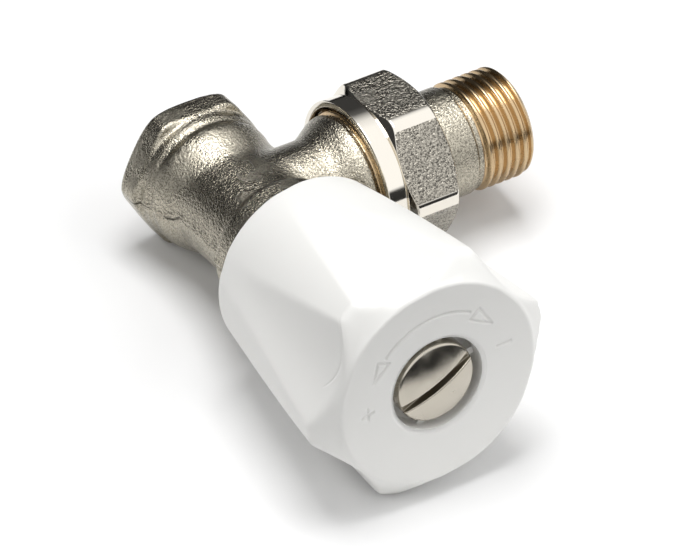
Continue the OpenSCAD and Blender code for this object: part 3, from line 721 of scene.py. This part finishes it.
def casting_bores(points):
    """Field of everything that is machined out of the forging."""
    x, d, z = points.T
    spindle_r = np.hypot(x, z)
    outlet_r = np.hypot(d, z)
    wave = thread_wave(d, np.arctan2(z, x))
    fade = smooth_step((-INLET_REACH + INLET_THREAD_LENGTH - d) / INLET_THREAD_RUNOUT)
    thread = spindle_r - INLET_BORE_R - PIPE_DEPTH * wave * fade
    thread = np.maximum(thread, d + INLET_REACH - INLET_THREAD_LENGTH)
    mouth = (spindle_r - INLET_BORE_R - MOUTH_CHAMFER + (d + INLET_REACH)) / CONE_SCALE
    cuts = np.minimum(thread, mouth)
    cuts = np.minimum(cuts, np.maximum(spindle_r - PASSAGE_R, d - PASSAGE_END))
    cuts = np.minimum(cuts, np.maximum(spindle_r - SEAT_HOLE_R, d - SEAT_HOLE_END))
    chamber = np.maximum(spindle_r - CHAMBER_R, CHAMBER_FLOOR - d)
    seat = np.maximum(spindle_r - SEAT_R, d - SEAT_FACE)
    cuts = np.minimum(cuts, np.maximum(chamber, -seat))
    return np.minimum(cuts, np.maximum(outlet_r - OUTLET_BORE_R, -x))


def casting_field(points):
    """Field of the whole body, with its union thread."""
    x, d, z = points.T
    outlet_r = np.hypot(d, z)
    wave = thread_wave(x, np.arctan2(z, -d))
    fade = smooth_step((x - BRANCH_END) / UNION_THREAD_RUNOUT)
    fade = fade * smooth_step((UNION_FACE - x) / UNION_THREAD_RUNOUT)
    thread_r = UNION_THREAD_R - PIPE_DEPTH * (1 - wave * fade)
    thread = np.maximum(outlet_r - thread_r, np.maximum(x - UNION_FACE, BRANCH_END - 1 - x))
    solid = np.minimum(casting_outside(points), thread)
    return soft_max(solid, -casting_bores(points), BORE_ROUNDING)


def make_body():
    """Forged valve body with its threads and bores."""
    low = (-HEX_CORNER - GRID_MARGIN, -INLET_REACH - GRID_MARGIN, -HEAD_R - GRID_MARGIN)
    high = (UNION_FACE + GRID_MARGIN, HEAD_FACE + GRID_MARGIN, HEAD_R + GRID_MARGIN)
    points, quads = surface_net(casting_field, low, high, CASTING_STEP)
    points = settled(casting_field, points, CASTING_STEP / 2)
    middle = points[quads].mean(axis=1)
    bare = (casting_bores(middle) < BARE_DEPTH) | (middle[:, 0] > BARE_BRANCH) | (middle[:, 1] > BARE_HEAD)
    body = mesh_object("body_casting", points, quads, [body_nickel, brass_outlet], bare.astype(int))
    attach(body, "valve")
    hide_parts("valve_body")


# Union nut


def nut_outline(angle):
    """Outline of the union nut at an angle, from its mouth over the outside and back through the bore."""
    flat_r = NUT_HALF / math.cos(across_flat(angle))
    top_r = soft_min(np.array(flat_r), np.array(NUT_CORNER), NUT_CORNER_ROUNDING).item()
    start_r = NUT_HALF * NUT_CHAMFER_START
    rise = (top_r - start_r) * NUT_CHAMFER_LENGTH
    outer = [
        (NUT_BACK, NUT_BORE_R + NUT_MOUTH_CHAMFER), (NUT_BACK, NUT_COLLAR_R), (NUT_HEX_START, NUT_COLLAR_R),
        (NUT_HEX_START, start_r), (NUT_HEX_START + rise, top_r), (NUT_FACE - rise, top_r),
        (NUT_FACE, start_r), (NUT_FACE, NUT_LIP[1]), (NUT_LIP[0], NUT_LIP[1]), (NUT_LIP[0], NUT_BORE_R)]
    outline = rounded(outer, NUT_ROUNDINGS, 3)
    stations = np.linspace(NUT_LIP[0] - 1, NUT_BACK + NUT_MOUTH_CHAMFER, NUT_THREAD_ROWS)
    fade = smooth_step((NUT_LIP[0] - NUT_THREAD_FADE[0] - stations) / NUT_THREAD_FADE[1])
    bore = NUT_BORE_R + PIPE_DEPTH * (1 - thread_wave(stations, angle)) * fade
    return np.concatenate([outline, np.stack([stations, bore], axis=1)])


def across_flat(angle):
    """Angle from the middle of the nearest flat of the union nut."""
    return (angle - TURN / 4 + TURN / 12) % (TURN / 6) - TURN / 12


def make_nut():
    """Union nut: a smooth turned collar, and a hexagon with the forging skin on its flats."""
    points, quads = spun(nut_outline, NUT_SEGMENTS, "outlet")
    middle = points[quads].mean(axis=1)
    radius = np.hypot(middle[:, 1], middle[:, 2])
    angle = np.arctan2(middle[:, 2], -middle[:, 1])
    limit = NUT_HALF / np.cos(across_flat(angle))
    inside = radius < NUT_BORE_R + NUT_BARE_DEPTH
    flat = (radius > limit - NUT_SKIN_DEPTH) & (limit < NUT_CORNER - NUT_SKIN_MARGIN)
    flat &= middle[:, 0] > NUT_HEX_START + NUT_SKIN_MARGIN
    slots = np.zeros(len(quads), dtype=int)
    slots[flat] = 1
    slots[inside & (middle[:, 0] < NUT_LIP[0])] = 2
    nut = mesh_object("union_nut_hexagon", points, quads, [collar_nickel, nut_cast, brass_outlet], slots)
    even_shading(nut)
    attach(nut, "nut")
    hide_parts("union_nut")


# Tailpiece


def tail_outline(angle):
    """Outline of the tailpiece at an angle, over the outside and back through the bore."""
    head = rounded(
        [(TAIL_START, TAIL_BORE_R), (TAIL_START, SHOULDER_R), (SHOULDER_END, SHOULDER_R),
         (SHOULDER_END, TAIL_COLLAR_R), (TAIL_THREAD_START - TAIL_THREAD_RUNIN, TAIL_COLLAR_R)],
        TAIL_ROUNDINGS, 3)
    stations = np.linspace(TAIL_THREAD_START - 0.5, TAIL_END, TAIL_THREAD_ROWS)
    start = smooth_step((stations - TAIL_THREAD_START) / TAIL_THREAD_RUNIN)
    root_r = TAIL_THREAD_R - PIPE_DEPTH
    crest = root_r + PIPE_DEPTH * thread_wave(stations, angle) * start
    end_r = TAIL_THREAD_R - TAIL_END_DROP + (TAIL_END - stations)
    thread = soft_min(crest, end_r, TAIL_END_ROUNDING)
    socket = (angle + TURN / 12) % (TURN / 6) - TURN / 12
    socket_r = TAIL_SOCKET_HALF / math.cos(socket)
    socket_end = TAIL_END - TAIL_SOCKET_DEPTH
    inner = np.array([(TAIL_END, socket_r), (socket_end, socket_r), (socket_end, TAIL_BORE_R)])
    return np.concatenate([head, np.stack([stations, thread], axis=1), inner])


def make_tail():
    """Tailpiece: plated shoulder and collar, and a bare brass thread."""
    points, quads = spun(tail_outline, TAIL_SEGMENTS, "outlet")
    middle = points[quads].mean(axis=1)
    radius = np.hypot(middle[:, 1], middle[:, 2])
    bare = (middle[:, 0] > TAIL_BARE_START) | (radius < TAIL_BORE_R + TAIL_BARE_DEPTH)
    tail = mesh_object("tail_fitting", points, quads, [cast_nickel, brass_outlet], bare.astype(int))
    even_shading(tail)
    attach(tail, "tail")
    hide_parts("tailpiece")


# Handwheel


def across_side(angle):
    """Angle from the middle of the nearest side of the handwheel."""
    return (angle - math.radians(KNOB_CORNER_TURN)) % (TURN / 6) - TURN / 12


def knob_radius(station, angle):
    """Outer radius of the handwheel: a cone with six hollow sides, which meets the front cone."""
    widest = KNOB_LENGTH - KNOB_FRONT_LENGTH
    share = np.maximum(station / widest, 0.001)
    cone = KNOB_REAR_R + (KNOB_CORNER_R - KNOB_REAR_R) * share
    across = across_side(angle)
    half = math.radians(KNOB_SIDE_TURN) * share ** KNOB_SIDE_GROWTH[0]
    chord = cone * np.cos(half) / math.cos(across)
    side = chord - KNOB_SIDE_HOLLOW * share ** KNOB_SIDE_GROWTH[1] * (1 - (across / half) ** 2)
    front = KNOB_CORNER_R - (KNOB_CORNER_R - KNOB_FACE_R) * (station - widest) / KNOB_FRONT_LENGTH
    return soft_min(soft_min(cone, side, KNOB_SIDE_ROUNDING), front, KNOB_FRONT_ROUNDING)


def crease_at(angle):
    """Station of the faint crease on a side of the handwheel at an angle, and its depth there."""
    across = across_side(angle)
    share = abs(math.degrees(across) - CREASE_TURN) / CREASE_HALF
    return CREASE_AT - CREASE_BOW * min(1, share ** 2), CREASE_DEPTH * float(smooth_step((1 - share) * 3))


def polar(radius, turn):
    """Place (x, z) on the face of the handwheel."""
    return np.array([radius * math.cos(math.radians(turn)), radius * math.sin(math.radians(turn))])


def mark_depth(radii, angle):
    """Depth of the pressed marks along a line of radii at an angle."""
    places = np.stack([radii * math.cos(angle), radii * math.sin(angle)], axis=1)
    arc_r, arc_start, arc_end = MARK_ARC
    distance = np.full(len(radii), 9.0)
    if arc_start < math.degrees(angle) < arc_end:
        distance = np.abs(radii - arc_r)
    for first, second in MARK_STROKES:
        start, end = polar(*first), polar(*second)
        line = end - start
        share = np.clip((places - start) @ line / (line @ line), 0, 1)
        gap = places - start - share[:, None] * line
        distance = np.minimum(distance, np.hypot(gap[:, 0], gap[:, 1]))
    return MARK_DEPTH * (1 - smooth_step((distance - (MARK_WIDTH - MARK_SLOPE) / 2) / MARK_SLOPE))


def knob_outline(angle):
    """Outline of the handwheel at an angle: outside, face, recess, hub and the inside of the skirt."""
    crease, depth = crease_at(angle)
    offsets = np.linspace(-CREASE_WIDTH, CREASE_WIDTH, 5)
    stations = np.concatenate([np.linspace(KNOB_RIM_R, crease - 0.5, KNOB_ROWS), crease + offsets,
                               np.linspace(crease + 0.5, KNOB_LENGTH - KNOB_EDGE, 5)])
    groove = depth * np.clip(1 - np.abs(stations - crease) / CREASE_WIDTH, 0, None)
    outside = np.stack([stations + KNOB_REAR, knob_radius(stations, angle) - groove], axis=1)
    edge_r = knob_radius(KNOB_LENGTH - KNOB_EDGE, angle)
    edge = rounded(
        [(KNOB_FACE - KNOB_EDGE / 2, edge_r - KNOB_EDGE / 4), (KNOB_FACE, edge_r - KNOB_EDGE),
         (KNOB_FACE, edge_r - 1.4)], (0.0, 0.3, 0.0))
    radii = np.linspace(MARKED_FACE_R, RECESS_R + 0.8, KNOB_FACE_ROWS)
    face = np.stack([KNOB_FACE - mark_depth(radii, angle), radii], axis=1)
    front = np.concatenate([edge, face])
    recess_floor = KNOB_FACE - RECESS_DEPTH
    insert_end = HUB_START + INSERT_LENGTH
    inside = rounded(
        [(KNOB_FACE, RECESS_R), (recess_floor, RECESS_R), (recess_floor, SCREW_HOLE_R),
         (insert_end, SCREW_HOLE_R), (insert_end, INSERT_R),
         (HUB_START, INSERT_R), (HUB_START, HUB_R), (recess_floor - RECESS_WALL, HUB_R),
         (recess_floor - RECESS_WALL, RECESS_R + RECESS_WALL),
         (KNOB_FACE - KNOB_FRONT_WALL, RECESS_R + RECESS_WALL),
         (KNOB_FACE - KNOB_FRONT_WALL, KNOB_CAVITY_R),
         (KNOB_REAR, KNOB_REAR_R - KNOB_WALL)],
        KNOB_INSIDE_ROUNDINGS)
    return np.concatenate([outside, front, inside, rear_rim(angle)])


def rear_rim(angle):
    """Quarter round from the rear edge of the handwheel up to its skirt."""
    centre_r = knob_radius(KNOB_RIM_R, angle) - KNOB_RIM_R
    turns = np.linspace(0, TURN / 4, 6)[:-1]
    return np.array([(KNOB_REAR + KNOB_RIM_R * (1 - math.cos(turn)), centre_r + KNOB_RIM_R * math.sin(turn))
                     for turn in turns])


def make_knob():
    """Six-sided white handwheel."""
    points, quads = spun(knob_outline, KNOB_SEGMENTS, "spindle")
    knob = mesh_object("handwheel", points, quads, [white_plastic])
    even_shading(knob)
    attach(knob, "spindle")
    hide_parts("knob")


def make_ribs():
    """Thin plates between the hub and the skirt, inside the handwheel."""
    slope = (KNOB_CAVITY_R - KNOB_REAR_R + KNOB_WALL) / (KNOB_LENGTH - KNOB_FRONT_WALL)
    end = KNOB_FACE - KNOB_FRONT_WALL + RIB_OVERLAP
    inner = HUB_R - RIB_OVERLAP
    skirt = [KNOB_REAR_R - KNOB_WALL + slope * (d - KNOB_REAR) + RIB_OVERLAP for d in (RIB_START, end)]
    outline = [(inner, RIB_START), (skirt[0], RIB_START), (skirt[1], end), (inner, end)]
    half = RIB_WIDTH / 2
    ring = [(-half, RIB_ROUNDING), (-half + RIB_ROUNDING, 0.0),
            (half - RIB_ROUNDING, 0.0), (half, RIB_ROUNDING)]
    points, faces = [], []
    for i in range(6):
        turn = math.radians(RIB_TURN + 60 * i)
        first = len(points)
        for across, inset in ring:
            for r, d in outline:
                d = d + inset if d == RIB_START else d
                points.append((r * math.cos(turn) - across * math.sin(turn), d,
                               r * math.sin(turn) + across * math.cos(turn)))
        for k in range(3):
            for j in range(4):
                a, b = first + 4 * k + j, first + 4 * k + (j + 1) % 4
                faces.append((a, b, b + 4, a + 4))
        faces.append([first + j for j in range(4)])
        faces.append([first + 12 + j for j in range(4)])
    ribs = mesh_object("handwheel_ribs", points, faces, [white_plastic], smooth=False)
    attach(ribs, "spindle")


def across_slot(x, z):
    """Distance from the middle of the screw's slot."""
    turn = math.radians(SCREW_SLOT_TURN)
    return np.abs(z * math.cos(turn) - x * math.sin(turn))


def screw_field(points):
    """Field of the handwheel screw: slotted domed head and shank."""
    x, d, z = points.T
    radius = np.hypot(x, z)
    dome_r = (SCREW_HEAD_R ** 2 + SCREW_DOME ** 2) / (2 * SCREW_DOME)
    head = cylinder_field(radius, d, SCREW_HEAD_R, SCREW_SEAT, SCREW_TOP + 1, SCREW_RIM_ROUNDING)
    head = soft_max(head, np.hypot(radius, d - SCREW_TOP + dome_r) - dome_r, SCREW_DOME_ROUNDING)
    shank = cylinder_field(radius, d, SCREW_SHANK_R, SCREW_SEAT - SCREW_SHANK_LENGTH, SCREW_SEAT + 1, 0.3)
    slot = soft_max(across_slot(x, z) - SCREW_SLOT_WIDTH / 2, SCREW_TOP - SCREW_SLOT_DEPTH - d,
                    SCREW_SLOT_ROUNDING)
    return soft_max(np.minimum(head, shank), -slot, SCREW_SLOT_EDGE)


def make_screw():
    """Slotted screw that holds the handwheel."""
    low = (-SCREW_HEAD_R - 0.5, SCREW_SEAT - SCREW_SHANK_LENGTH - 0.5, -SCREW_HEAD_R - 0.5)
    high = (SCREW_HEAD_R + 0.5, SCREW_TOP + 0.5, SCREW_HEAD_R + 0.5)
    points, quads = surface_net(screw_field, low, high, SCREW_STEP)
    points = settled(screw_field, points, SCREW_STEP / 2)
    middle = points[quads].mean(axis=1)
    # Faces in the slot get the darker nickel, which is painted shade
    deep = middle[:, 1] > SCREW_TOP - SCREW_SLOT_DEPTH - 0.2
    in_slot = deep & (across_slot(middle[:, 0], middle[:, 2]) < SCREW_SLOT_WIDTH / 2 + 0.06)
    screw = mesh_object("handwheel_screw", points, quads, [screw_nickel_painted_shade, slot_nickel_painted_shade], in_slot.astype(int))
    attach(screw, "spindle")
    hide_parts("knob_screw")


# Studio


def camera_axes():
    """Right, up and back directions of the camera."""
    azimuth, elevation = math.radians(CAMERA_AZIMUTH), math.radians(CAMERA_ELEVATION)
    roll = math.radians(CAMERA_ROLL)
    back = Vector((math.sin(azimuth) * math.cos(elevation), -math.cos(azimuth) * math.cos(elevation),
                   math.sin(elevation)))
    level = Vector((math.cos(azimuth), math.sin(azimuth), 0))
    rise = back.cross(level)
    right = level * math.cos(roll) - rise * math.sin(roll)
    up = rise * math.cos(roll) + level * math.sin(roll)
    return right, up, back


def make_camera():
    """Camera at the photograph's angle, moved in its own plane so that the crossing lands on its pixel."""
    right, up, back = camera_axes()
    mm_per_px = CAMERA_DISTANCE / FOCAL_PX
    aim = Vector((0, CROSS_Y, 0))
    aim += right * (PHOTO_W / 2 - CROSSING_PX[0]) * mm_per_px
    aim -= up * (PHOTO_H / 2 - CROSSING_PX[1]) * mm_per_px
    data = bpy.data.cameras.new("camera")
    data.sensor_width = SENSOR_W
    data.lens = SENSOR_W * FOCAL_PX / PHOTO_W
    data.clip_end = CLIP_END
    camera = bpy.data.objects.new("camera", data)
    place = Matrix((right, up, back)).transposed().to_4x4()
    place.translation = (aim + back * CAMERA_DISTANCE) * MM
    camera.matrix_world = place
    bpy.context.scene.collection.objects.link(camera)
    bpy.context.scene.camera = camera


def rest_plane():
    """Point and normal of the plane that the valve lies on: handwheel, union nut and inlet hexagon."""
    clouds = []
    for node in ("knob", "union_nut", "valve_body"):
        mesh = frame["nodes"][node].data
        cloud = np.empty(len(mesh.vertices) * 3)
        mesh.vertices.foreach_get("co", cloud)
        clouds.append(cloud.reshape(-1, 3))
    slope = np.zeros(2)
    for _ in range(20):
        touch = np.array([c[np.argmin(c[:, 2] - c[:, :2] @ slope)] for c in clouds])
        system = np.column_stack([touch[:, :2], np.ones(3)])
        slope = np.linalg.solve(system, touch[:, 2])[:2]
    normal = Vector((-slope[0], -slope[1], 1)).normalized()
    return Vector(touch.mean(axis=0)), normal


def make_floor():
    """White table under the valve, which keeps its shadow and shows white to the camera."""
    point, normal = rest_plane()
    turns = [TURN * i / TABLE_CORNERS for i in range(TABLE_CORNERS)]
    rim = [(TABLE_R * math.cos(turn), TABLE_R * math.sin(turn), 0) for turn in turns]
    mesh = bpy.data.meshes.new("floor")
    mesh.from_pydata(rim, [], [list(range(TABLE_CORNERS))])
    floor = bpy.data.objects.new("floor", mesh)
    floor.matrix_world = Matrix.Translation(point) @ normal.to_track_quat("Z", "Y").to_matrix().to_4x4()
    bpy.context.scene.collection.objects.link(floor)
    material, tree, shader, add = new_material("floor_white")
    shader.inputs["Base Color"].default_value = TABLE_WHITE
    shader.inputs["Roughness"].default_value = 0.9
    shader.inputs["Specular IOR Level"].default_value = 0.1
    shader.inputs["Emission Color"].default_value = (1, 1, 1, 1)
    path = add("ShaderNodeLightPath").outputs
    seen = add("ShaderNodeMath", {0: path["Is Camera Ray"], 1: path["Is Glossy Ray"]}, operation="MAXIMUM")
    seen = add("ShaderNodeMath", {0: seen.outputs["Value"], 1: path["Is Transmission Ray"]},
               operation="MAXIMUM")
    lift = add("ShaderNodeMath", {0: seen.outputs["Value"], 1: FLOOR_LIFT}, operation="MULTIPLY")
    tree.links.new(lift.outputs["Value"], shader.inputs["Emission Strength"])
    mesh.materials.append(material)


def make_world():
    """White to the camera; to metal, a studio with a bright window and a dark room below and behind."""
    world = bpy.data.worlds.new("studio")
    bpy.context.scene.world = world
    world.use_nodes = True
    tree = world.node_tree
    tree.nodes.clear()
    add = node_adder(tree)
    place = add("ShaderNodeTexCoord").outputs["Generated"]
    narrow = add("ShaderNodeVectorMath", {0: place, 1: WINDOW_NARROWING}, operation="MULTIPLY")
    even = add("ShaderNodeVectorMath", {0: narrow.outputs["Vector"]}, operation="NORMALIZE")
    middle = Vector(WINDOW_DIRECTION).normalized()
    towards = add("ShaderNodeVectorMath", {0: even.outputs["Vector"], 1: middle}, operation="DOT_PRODUCT")
    span = add("ShaderNodeMapRange", {"Value": towards.outputs["Value"], "From Min": -1, "From Max": 1})
    ramp = add("ShaderNodeValToRGB", {"Fac": span.outputs["Result"]})
    while len(ramp.color_ramp.elements) < len(WINDOW_STOPS):
        ramp.color_ramp.elements.new(0.5)
    for element, (position, level) in zip(ramp.color_ramp.elements, WINDOW_STOPS):
        element.position = position
        element.color = (level, level, level, 1)
    height = add("ShaderNodeSeparateXYZ", {"Vector": place}).outputs["Z"]
    horizon = add("ShaderNodeMapRange", {"Value": height, "From Min": HORIZON[0], "From Max": HORIZON[1],
                                         "To Min": ROOM_STRENGTH, "To Max": WINDOW_STRENGTH})
    studio = add("ShaderNodeBackground", {"Color": ramp.outputs["Color"],
                                          "Strength": horizon.outputs["Result"]})
    ambient = add("ShaderNodeBackground", {"Color": (1, 1, 1, 1), "Strength": AMBIENT})
    white = add("ShaderNodeBackground", {"Color": (1, 1, 1, 1), "Strength": 1.0})
    path = add("ShaderNodeLightPath").outputs
    mirrored = add("ShaderNodeMath", {0: path["Is Glossy Ray"], 1: path["Is Transmission Ray"]},
                   operation="MAXIMUM")
    gloss = add("ShaderNodeMixShader", {"Fac": mirrored.outputs["Value"], 1: ambient.outputs["Background"],
                                        2: studio.outputs["Background"]})
    view = add("ShaderNodeMixShader", {"Fac": path["Is Camera Ray"], 1: gloss.outputs["Shader"],
                                       2: white.outputs["Background"]})
    add("ShaderNodeOutputWorld", {"Surface": view.outputs["Shader"]})


def make_lights():
    """Square softboxes round the valve, with the strongest one overhead."""
    low, high = cad_box
    centre = (Vector(low) + Vector(high)) / 2
    for name, direction, power in SOFTBOXES:
        direction = Vector(direction).normalized()
        data = bpy.data.lights.new(name, "AREA")
        data.size = SOFTBOX_SIZE
        data.energy = power
        lamp = bpy.data.objects.new(name, data)
        lamp.location = centre + direction * SOFTBOX_DISTANCE
        lamp.rotation_mode = "QUATERNION"
        lamp.rotation_quaternion = direction.to_track_quat("Z", "Y")
        lamp.visible_glossy = name == MIRRORED_LAMP
        bpy.context.scene.collection.objects.link(lamp)


def dress_cad_nodes():
    """Materials for the pieces whose solids are shown as they are."""
    finish = {
        "bonnet": spindle_nickel, "bonnet_seal": rubber, "limiter_sleeve": brass_spindle,
        "gland_washer": steel, "gland_seal": rubber, "gland_nut": spindle_nickel,
        "clack": brass_spindle, "seat_washer": rubber, "clack_plate": steel, "clack_screw": steel,
        "clack_clip": steel, "spindle": spindle_nickel, "spindle_ring_low": rubber,
        "spindle_ring_high": rubber, "knob_insert": brass_spindle, "knob_screw_washer": steel,
        "tail_seal": rubber}
    for node, material in finish.items():
        for place in frame["nodes"][node].material_slots:
            place.material = material


make_body()
make_nut()
make_tail()
make_knob()
make_ribs()
make_screw()
dress_cad_nodes()
make_camera()
make_floor()
make_world()
make_lights()
bpy.context.scene.view_settings.view_transform = "Standard"

bpy.context.view_layer.update()
